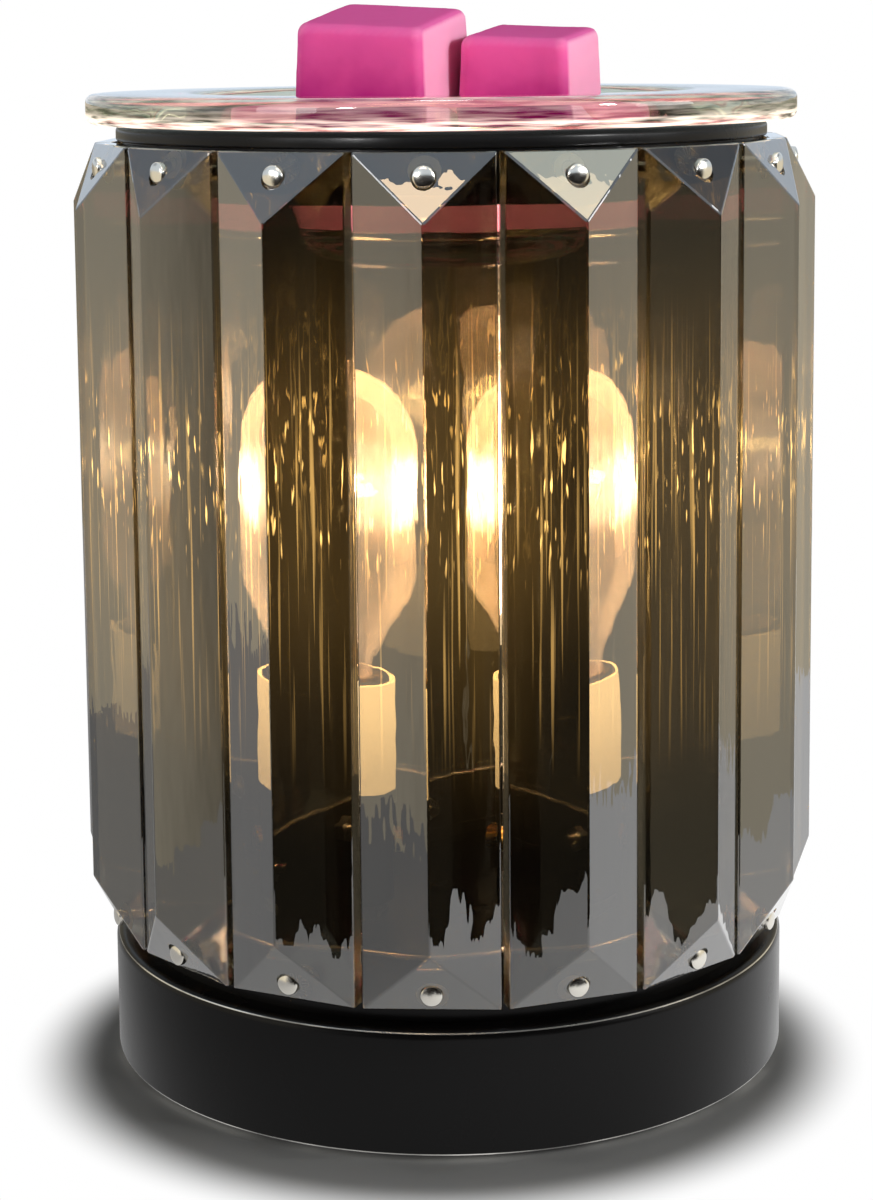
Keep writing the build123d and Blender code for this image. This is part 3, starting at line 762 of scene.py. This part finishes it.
class WARMER_OT_bars(bpy.types.Operator):
    """Build the ring of glass bars."""
    bl_idname = "warmer.bars"
    bl_label = "Glass bars"

    def execute(self, context):
        """Shape one bar, drill it for its screws and set it round the axis."""
        values = context.scene.warmer
        sizes = values.bars
        low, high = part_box("glass_bar_01")
        back = -high.y
        crest = -low.y
        half = high.x
        edge = back + sizes.edge
        shape = bmesh.new()
        for side in (-half, half):
            for level in (low.z, high.z):
                shape.verts.new((back, side, level))
                shape.verts.new((edge, side, level))
        shape.verts.new((crest, 0.0, low.z + sizes.facet))
        shape.verts.new((crest, 0.0, high.z - sizes.facet))
        bmesh.ops.convex_hull(shape, input=shape.verts[:])
        bmesh.ops.dissolve_limit(shape, angle_limit=FLAT_ANGLE, verts=shape.verts[:], edges=shape.edges[:])
        bmesh.ops.bevel(shape, geom=shape.edges[:], offset=sizes.arris, segments=2, profile=0.5,
                        affect="EDGES")
        bar = bmesh_done(shape, "glass_bars")
        cutters = []
        slope = (crest - edge) / sizes.facet
        for screws, end in (("upper_bar_screws", high.z), ("lower_bar_screws", low.z)):
            level = sum(corner.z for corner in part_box(screws)) / 2.0
            seat = edge + abs(end - level) * slope - sizes.spot_depth
            cutters.append(crosswise_rod(sizes.hole, back - sizes.edge, crest + sizes.edge, level))
            cutters.append(crosswise_rod(sizes.spot, seat, crest + sizes.edge, level))
        lamp = sum(corner.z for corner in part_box("filament")) / 2.0
        finish = smoked_crystal(values.colours, math.hypot(back, half) + sizes.glow_film, lamp)
        ring = ring_of(cut(bar, cutters), sizes.count, finish)
        place("glass_bars", ring, finish, "warmer", "smoked_glass",
              *[f"glass_bar_{number:02d}" for number in range(1, sizes.count + 1)])
        return {"FINISHED"}


class WARMER_OT_screws(bpy.types.Operator):
    """Build the domed screws at both ends of the bars."""
    bl_idname = "warmer.screws"
    bl_label = "Bar screws"

    def execute(self, context):
        """Turn one screw for each end and set it round the axis."""
        sizes = context.scene.warmer.bars
        finish = worn_metal("nickel plate, polished", "#D9D5CC", roughness=0.2, grain=0.7, spread=0.08)
        for node in ("upper_bar_screws", "lower_bar_screws"):
            name = node.replace("bar", "domed")
            low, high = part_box(node)
            level = (low.z + high.z) / 2.0
            tip = high.x
            seat = tip - sizes.head_height
            edge = tip - sizes.head_dome
            shank_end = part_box(node.replace("screws", "nuts"))[1].x - sizes.shank_reach
            outline = [(0.0, shank_end), (sizes.shank, shank_end), (sizes.shank, seat), (sizes.head, seat),
                       (sizes.head, edge)]
            points = [Vector(corner) for corner in outline]
            screw = turned(name, points + dome(sizes.head, edge, sizes.head_dome, DOME_STEPS))
            screw.transform(Matrix.Translation((0.0, 0.0, level)) @ Matrix.Rotation(QUARTER_TURN, 4, "Y"))
            ring = ring_of(screw, sizes.count, finish)
            place(name, ring, finish, "warmer", "nickel", node)
        return {"FINISHED"}


class WARMER_OT_lamp(bpy.types.Operator):
    """Build the candle sleeve, the bulb's glass and its glowing filament."""
    bl_idname = "warmer.lamp"
    bl_label = "Lamp"

    def execute(self, context):
        """Turn the sleeve and the glass, and coil the filament."""
        values = context.scene.warmer
        sizes = values.lamp
        low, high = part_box("candle_sleeve")
        inner = high.x - sizes.sleeve_wall
        sleeve = rounded([(inner, low.z, 0.0), (high.x, low.z, 0.0), (high.x, high.z, sizes.sleeve_round),
                          (inner, high.z, sizes.sleeve_round)])
        place("candle_sleeve_tube", turned("candle_sleeve_tube", sleeve),
              moulded_sleeve(values.colours, low.z, high.z), "warmer", "cream_sleeve", "candle_sleeve")
        low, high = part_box("filament")
        centre = Vector((0.0, 0.0, (low.z + high.z) / 2.0))
        glass = turned("bulb_envelope", self.envelope(sizes, 0.0) + self.envelope(sizes, sizes.wall)[::-1])
        finish = lamp_glass(values.colours, centre)
        envelope = place("bulb_envelope", glass, finish, "bulb", "bulb_glass", "bulb_glass")
        envelope.visible_shadow = False
        place("filament_coil", self.coil(sizes, centre.z), glowing_tungsten(values.colours), "bulb",
              "filament", "filament")
        return {"FINISHED"}

    def envelope(self, sizes, inset):
        """Half of the bulb's outline, from its open lower end to its crown, smaller by the inset."""
        low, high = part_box("bulb_glass")
        neck = sizes.neck - inset
        neck_end = low.z + sizes.neck_length
        crown = high.z - high.x
        wide = high.x - inset
        side = rounded([(neck, low.z, 0.0), (neck, neck_end, sizes.shoulder_round),
                        (wide, neck_end + sizes.shoulder, sizes.shoulder_round), (wide, crown, 0.0)])
        return side + dome(wide, crown, wide, CROWN_STEPS)

    def coil(self, sizes, level):
        """The filament: a fine coil that runs round an open loop, with its gap towards +X."""
        curve = bpy.data.curves.new("filament_coil", "CURVE")
        curve.dimensions = "3D"
        curve.bevel_depth = sizes.wire
        curve.bevel_resolution = 2
        curve.use_fill_caps = True
        count = sizes.coil_turns * COIL_STEPS
        spline = curve.splines.new("POLY")
        spline.points.add(count)
        start = (math.tau - sizes.loop_sweep) / 2.0
        for step, point in enumerate(spline.points):
            along = start + sizes.loop_sweep * step / count
            turn = math.tau * sizes.coil_turns * step / count
            radius = sizes.loop + sizes.coil * math.cos(turn)
            point.co = (radius * math.cos(along), radius * math.sin(along),
                        level + sizes.coil * math.sin(turn), 1.0)
        return smoothed(settled(linked("filament_coil", curve)))


class WARMER_OT_dish(bpy.types.Operator):
    """Build the glass dish and the pool of wax in it."""
    bl_idname = "warmer.dish"
    bl_label = "Dish and pool"

    def execute(self, context):
        """Turn the dish, and the pool to fit its bowl."""
        values = context.scene.warmer
        sizes = values.dish
        wax = values.wax
        low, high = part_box("glass_dish")
        rim_bottom = high.z - sizes.rim
        slope = sizes.draft / (rim_bottom - low.z)
        foot = sizes.mouth - sizes.draft
        floor = low.z + sizes.floor

        def inside(level):
            """Radius of the bowl's inner wall at this height."""
            return foot - sizes.wall + (level - low.z) * slope

        bowl = rounded([
            (0.0, low.z, 0.0), (foot, low.z, sizes.bowl_round), (sizes.mouth, rim_bottom, sizes.lip_round),
            (high.x, rim_bottom, sizes.rim_round), (high.x, high.z, sizes.rim_round),
            (inside(high.z), high.z, sizes.lip_round), (inside(floor), floor, sizes.bowl_round),
            (0.0, floor, 0.0)])
        dish = place("glass_dish_pressed", turned("glass_dish_pressed", bowl),
                     pressed_glass(values.colours, high.x, rim_bottom), "dish", "dish_glass", "glass_dish")
        dish.visible_shadow = False
        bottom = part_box("wax_pool")[0].z
        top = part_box("wax_pool")[1].z
        edge = inside(top) + wax.contact
        surface = [(edge * (1.0 - ring / POOL_RINGS), top, 0.0) for ring in range(1, POOL_RINGS + 1)]
        pool = turned("wax_pool_set", rounded([
            (0.0, bottom, 0.0), (inside(bottom) + wax.contact, bottom, sizes.bowl_round), (edge, top, 0.0),
            *surface]))
        for vertex in pool.vertices:
            if vertex.co.z > top - MERGE:
                wave = noise.noise(vertex.co / wax.ripple_width)
                vertex.co.z += wax.ripple * (wave - 1.0) / 2.0
        palest = top + (top - bottom)
        finish = cast_wax("melted and set wax", values.colours, bottom, palest, glow=wax.pool_glow,
                          shine=wax.pool_shine)
        place("wax_pool_set", smoothed(pool), finish, "dish", "pink_wax", "wax_pool")
        return {"FINISHED"}


class WARMER_OT_cubes(bpy.types.Operator):
    """Build the two wax cubes, with worn faces."""
    bl_idname = "warmer.cubes"
    bl_label = "Wax cubes"

    def execute(self, context):
        """Refine each cube's own mesh, soften its edges and dent its faces."""
        values = context.scene.warmer
        sizes = values.wax
        for body in ("large_cube", "small_cube"):
            node = body.replace("cube", "wax_cube")
            name = f"{node}_cast"
            low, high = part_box(node)
            shape = bmesh.new()
            shape.from_mesh(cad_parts[node].data)
            piece = linked(name, bmesh_done(shape, name))
            remesh = piece.modifiers.new("grain", "REMESH")
            remesh.mode = "VOXEL"
            remesh.voxel_size = sizes.grain
            soften = piece.modifiers.new("soften", "SMOOTH")
            soften.iterations = 6
            mesh = settled(piece)
            inward = [-vertex.normal * sizes.dent for vertex in mesh.vertices]
            for vertex, push in zip(mesh.vertices, inward):
                if vertex.co.z > low.z + sizes.grain:
                    vertex.co += push * (0.5 + 0.5 * noise.noise(vertex.co / sizes.dent_width))
            mesh.shade_smooth()
            rise = high.z - low.z
            finish = cast_wax("cast scented wax", values.colours, low.z + sizes.pale_start * rise,
                              low.z + sizes.pale_end * rise, glow=0.0, shine=0.0)
            place(name, mesh, finish, body, "pink_wax", node)
        return {"FINISHED"}


class WARMER_OT_hardware(bpy.types.Operator):
    """Finish the pieces that keep their own mesh: fasteners, lampholder, cover, feet and gland."""
    bl_idname = "warmer.hardware"
    bl_label = "Hardware"

    def execute(self, context):
        """Give each piece the finish of its real material."""
        dress(moulded("moulded black ABS", "#1B1B1C", roughness=0.5, grain=0.6, spread=0.12),
              "bottom_cover")
        dress(moulded("moulded black phenolic", "#161412", roughness=0.32, grain=1.4), "lampholder_body")
        dress(moulded("moulded black rubber", "#202021", roughness=0.75, grain=0.5), "rubber_feet",
              "cord_gland")
        dress(moulded("turned white nylon", "#DAD6C9", roughness=0.45, grain=0.8), "upper_bar_washers",
              "lower_bar_washers")
        dress(moulded("black lamp cap glass", "#0E0E10", roughness=0.12, grain=1.2, spread=0.06),
              "cap_insulator")
        dress(worn_metal("zinc plate, bright", "#B9BCC0", roughness=0.34, grain=0.8), "cover_posts",
              "cover_screws", "neck_screws", "neck_nuts", "upper_bar_nuts", "lower_bar_nuts",
              "holder_nipple", "nipple_nuts", "nipple_washer", "tip_contact")
        dress(worn_metal("spun brass", "#C9A24F", roughness=0.28, grain=0.9), "screw_shell",
              "centre_contact", "terminal_screws", "bulb_cap")
        dress(worn_metal("drawn molybdenum wire", "#8E8C88", roughness=0.35, grain=0.5), "lead_wires")
        dress(bpy.data.materials["blown lamp glass"], "bulb_stem")
        return {"FINISHED"}


class WARMER_OT_stage(bpy.types.Operator):
    """Set the paper floor, what the glass mirrors, the world, the lamps and the camera."""
    bl_idname = "warmer.stage"
    bl_label = "Stage"

    def execute(self, context):
        """Set the stage, and let light pass through all the layers of glass."""
        values = context.scene.warmer
        stage = values.stage
        self.floor(stage, values.colours)
        self.screen()
        self.cards()
        self.world(stage.fill, stage.through)
        self.lamps(stage, values.colours)
        self.camera(stage)
        cycles = context.scene.cycles
        cycles.max_bounces = 32
        cycles.transmission_bounces = 32
        cycles.glossy_bounces = 12
        cycles.transparent_max_bounces = 48
        cycles.sample_clamp_indirect = 10.0
        context.scene.view_settings.view_transform = "Standard"
        return {"FINISHED"}

    def floor(self, stage, colours):
        """Paper: lit, shaded and painted grey near the warmer; plain white further out; graded in mirrors.
        """
        shape = bmesh.new()
        bmesh.ops.create_circle(shape, cap_ends=True, segments=FLOOR_SEGMENTS, radius=stage.paper)
        floor = linked("paper_floor", bmesh_done(shape, "paper_floor"))
        floor.data.transform(Matrix.Translation((0.0, 0.0, cad_box[0].z - stage.paper_drop)))
        material, tree = blank("white paper")
        here = add(tree, "ShaderNodeTexCoord").outputs["Object"]
        across = add(tree, "ShaderNodeSeparateXYZ", {"Vector": here}).outputs["X"]
        away = add(tree, "ShaderNodeVectorMath", {0: here, 1: (stage.shadow_x, stage.shadow_y, 0.0)},
                   operation="DISTANCE")
        far = add(tree, "ShaderNodeMapRange", {"Value": away, "From Min": stage.shadow_start,
                                               "From Max": stage.shadow_end},
                  interpolation_type="SMOOTHSTEP")
        # Painted shadow: near the warmer the paper is grey, so its shadow reads darker, fading to plain
        # white between shadow start and end.
        paper = add(tree, "ShaderNodeBsdfPrincipled", {"Base Color": colours.floor, "Roughness": 0.8,
                                                       "Specular IOR Level": 0.1})
        rays = add(tree, "ShaderNodeLightPath").outputs
        plain = add(tree, "ShaderNodeMath", {0: far, 1: rays["Is Glossy Ray"]}, operation="MAXIMUM")
        # Painted light: in mirrors the paper is darker on the left and brighter on the right, as if lit
        # from the right.
        lit = add(tree, "ShaderNodeMapRange", {
            "Value": across, "From Min": -stage.mirrored_width, "From Max": stage.mirrored_width,
            "To Min": stage.mirrored_left, "To Max": stage.mirrored_right})
        mirrored = add(tree, "ShaderNodeMapRange", {"Value": rays["Is Glossy Ray"], "To Min": 1.0,
                                                    "To Max": lit})
        level = add(tree, "ShaderNodeMapRange", {"Value": rays["Is Transmission Ray"], "To Min": mirrored,
                                                 "To Max": stage.through})
        white = add(tree, "ShaderNodeEmission", {"Strength": level})
        mixed = add(tree, "ShaderNodeMixShader", {0: plain, 1: paper, 2: white})
        add(tree, "ShaderNodeOutputMaterial", {"Surface": mixed})
        floor.data.materials.append(material)

    def hang(self, name, shape, material):
        """Hang a shape on the set that is seen in reflections alone."""
        sheet = linked(name, bmesh_done(shape, name))
        sheet.data.materials.append(unlit(material))
        for ray in ("camera", "diffuse", "transmission", "shadow", "volume_scatter"):
            setattr(sheet, f"visible_{ray}", False)

    def screen(self):
        """A screen round the set that only reflections see: dark in front, pale round the sides and back.

        Its ragged hem gives the bars' reflections of the paper their jagged upper ends.
        """
        middle = Vector((-0.045, 0.15, 0.0))
        radius = 0.29
        top = 0.155
        rags = ((0.042, 24.0), (0.01, 97.0))    # how high each kind of rag is, and how close they stand
        shape = bmesh.new()
        posts = []
        for column in range(SCREEN_COLUMNS):
            angle = math.tau * column / SCREEN_COLUMNS
            way = Vector((math.cos(angle), math.sin(angle), 0.0))
            hem = sum(rise * abs(noise.noise(way * closeness)) for rise, closeness in rags)
            foot = middle + way * radius
            posts.append([shape.verts.new(foot + Vector((0.0, 0.0, level))) for level in (hem, top)])
        for here, there in zip(posts, posts[1:] + posts[:1]):
            shape.faces.new((here[0], there[0], there[1], here[1]))
        material, tree = blank("two-tone cloth")
        spot = add(tree, "ShaderNodeTexCoord").outputs["Object"]
        front_way = (0.242, -0.97, 0.0)
        ahead = add(tree, "ShaderNodeVectorMath", {0: spot, 1: front_way}, operation="DOT_PRODUCT")
        front = add(tree, "ShaderNodeMapRange", {"Value": ahead, "From Min": 0.092, "From Max": 0.112},
                    interpolation_type="SMOOTHSTEP")
        back = add(tree, "ShaderNodeMapRange", {"Value": ahead, "From Min": -0.12, "From Max": -0.3},
                   interpolation_type="SMOOTHSTEP")
        pale = add(tree, "ShaderNodeMix", {FACTOR: back, COLOUR_A: linear("#F6ECD4"),
                                           COLOUR_B: linear("#A8A08C")}, data_type="RGBA")
        colour = add(tree, "ShaderNodeMix", {FACTOR: front, COLOUR_A: pale, COLOUR_B: linear("#14110E")},
                     data_type="RGBA")
        cloth = add(tree, "ShaderNodeEmission", {"Color": colour})
        add(tree, "ShaderNodeOutputMaterial", {"Surface": cloth})
        self.hang("cloth_screen", shape, material)

    def cards(self):
        """Cards, hung high in front and at the sides, which the upper facets of the bars mirror."""
        for name, code, strength, axis, distance, corners in (
                ("front_card", "#FFE5C5", 6.0, "Y", -0.3,
                 ((-0.12, 0.38), (0.07, 0.38), (0.07, 0.505), (-0.12, 0.505))),
                ("right_card", "#FFF6DD", 4.8, "Y", -0.3,
                 ((0.33, 0.55), (0.62, 0.55), (0.62, 0.816), (0.33, 0.651))),
                ("right_veil", "#F9FFF3", 2.6, "Y", -0.3,
                 ((0.33, 0.651), (0.62, 0.816), (0.62, 0.95), (0.33, 0.95))),
                ("right_dusk", "#E6F1FF", 0.33, "X", 0.6,
                 ((-0.1, 0.38), (0.36, 0.38), (0.36, 0.72), (-0.1, 0.72))),
                ("left_dusk", "#E6F1FF", 0.55, "X", -0.6,
                 ((0.0, 0.32), (0.42, 0.32), (0.42, 0.65), (0.0, 0.65)))):
            shape = bmesh.new()
            points = []
            for along, up in corners:
                point = (distance, along, up) if axis == "X" else (along, distance, up)
                points.append(shape.verts.new(point))
            shape.faces.new(points)
            material, tree = blank(name)
            glow = add(tree, "ShaderNodeEmission", {"Color": linear(code), "Strength": strength})
            add(tree, "ShaderNodeOutputMaterial", {"Surface": glow})
            self.hang(name, shape, material)

    def world(self, fill, through):
        """White to the eye and in mirrors, dimmer through glass, and an even fill for the rest."""
        world = bpy.data.worlds.new("white room")
        world.use_nodes = True
        tree = world.node_tree
        tree.nodes.clear()
        rays = add(tree, "ShaderNodeLightPath").outputs
        seen = add(tree, "ShaderNodeMath", {0: rays["Is Camera Ray"], 1: rays["Is Glossy Ray"]},
                   operation="MAXIMUM")
        dimmed = add(tree, "ShaderNodeMapRange", {"Value": rays["Is Transmission Ray"], "To Min": fill,
                                                  "To Max": through})
        strength = add(tree, "ShaderNodeMath", {0: seen, 1: dimmed}, operation="MAXIMUM")
        colour = add(tree, "ShaderNodeMix", {FACTOR: rays["Is Glossy Ray"], COLOUR_A: linear("#FFFFFF"),
                                             COLOUR_B: linear("#DDE9F6")}, data_type="RGBA")
        white = add(tree, "ShaderNodeBackground", {"Color": colour, "Strength": strength})
        add(tree, "ShaderNodeOutputWorld", {"Surface": white})
        bpy.context.scene.world = world

    def lamps(self, stage, colours):
        """A small box overhead, a soft one at each side, two spots on the wax, and the lamp's own light."""
        middle = (cad_box[0] + cad_box[1]) / 2.0
        wax = sum(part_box("large_wax_cube"), Vector()) / 2.0
        bulb = sum(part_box("filament"), Vector()) / 2.0
        for name, spot, power, width in (("top box", (0.0, -0.02, 0.9), 1.0, 0.12),
                                         ("right box", (0.9, -0.25, 0.4), 2.4, 0.4),
                                         ("left box", (-0.8, -0.8, 0.3), 2.0, 0.4)):
            light = self.lamp(name, "AREA", spot, middle, power)
            light.size = width
        for name, spot, power in (("right spot", (0.8, -0.55, 0.4), 25.0),
                                  ("left spot", (-0.45, -0.9, 0.3), 17.0)):
            light = self.lamp(name, "SPOT", spot, wax, power)
            light.spot_size = stage.spot_cone
            light.shadow_soft_size = stage.spot_radius
        light = self.lamp("filament light", "POINT", (0.0, 0.0, bulb.z), middle, stage.filament)
        light.color = colours.glow[:3]
        light.shadow_soft_size = stage.filament_radius

    def lamp(self, name, kind, spot, aim, power):
        """A lamp aimed at a point, which shows in mirrors but not to the eye or through glass."""
        light = bpy.data.lights.new(name, kind)
        light.energy = power
        lamp = linked(name, light)
        lamp.location = spot
        lamp.rotation_euler = (Vector(spot) - aim).to_track_quat("Z", "Y").to_euler()
        lamp.visible_camera = False
        lamp.visible_transmission = False
        return light

    def camera(self, stage):
        """The photograph's view."""
        lens = bpy.data.cameras.new("camera")
        lens.sensor_fit = "AUTO"
        lens.lens = lens.sensor_width * stage.focal_pixels / IMAGE_HEIGHT
        lens.shift_y = stage.shift
        lens.clip_start = 0.01
        camera = linked("camera", lens)
        eye = Vector((stage.distance * math.sin(stage.azimuth), -stage.distance * math.cos(stage.azimuth),
                      stage.height))
        camera.matrix_world = (Matrix.Translation(eye)
                               @ Matrix.Rotation(stage.azimuth + stage.yaw, 4, "Z")
                               @ Matrix.Rotation(QUARTER_TURN - stage.pitch, 4, "X")
                               @ Matrix.Rotation(stage.roll, 4, "Z"))
        bpy.context.scene.camera = camera


steps = (WARMER_OT_base, WARMER_OT_rings, WARMER_OT_bars, WARMER_OT_screws, WARMER_OT_lamp,
         WARMER_OT_dish, WARMER_OT_cubes, WARMER_OT_hardware, WARMER_OT_stage)


class WARMER_PT_panel(bpy.types.Panel):
    """The steps that build the warmer, and the values that they use."""
    bl_label = "Wax Melt Warmer"
    bl_space_type = "VIEW_3D"
    bl_region_type = "UI"
    bl_category = "Warmer"

    def draw(self, context):
        """List each step, then each group of values."""
        for step in steps:
            self.layout.operator(step.bl_idname)
        values = context.scene.warmer
        for group in WarmerValues.__annotations__:
            column = self.layout.box().column()
            column.label(text=group.capitalize())
            for name in getattr(values, group).__annotations__:
                column.prop(getattr(values, group), name)


classes = (BaseSizes, BarSizes, LampSizes, DishSizes, WaxSizes, Colours, StageValues, WarmerValues,
           *steps, WARMER_PT_panel)


def register():
    """Register the classes and keep their values on the scene."""
    for item in classes:
        bpy.utils.register_class(item)
    bpy.types.Scene.warmer = PointerProperty(type=WarmerValues)


def unregister():
    """Undo register."""
    del bpy.types.Scene.warmer
    for item in reversed(classes):
        bpy.utils.unregister_class(item)


def main():
    """Build the warmer and its stage."""
    register()
    for step in steps:
        family, name = step.bl_idname.split(".")
        getattr(getattr(bpy.ops, family), name)()


if __name__ == "__main__":
    main()
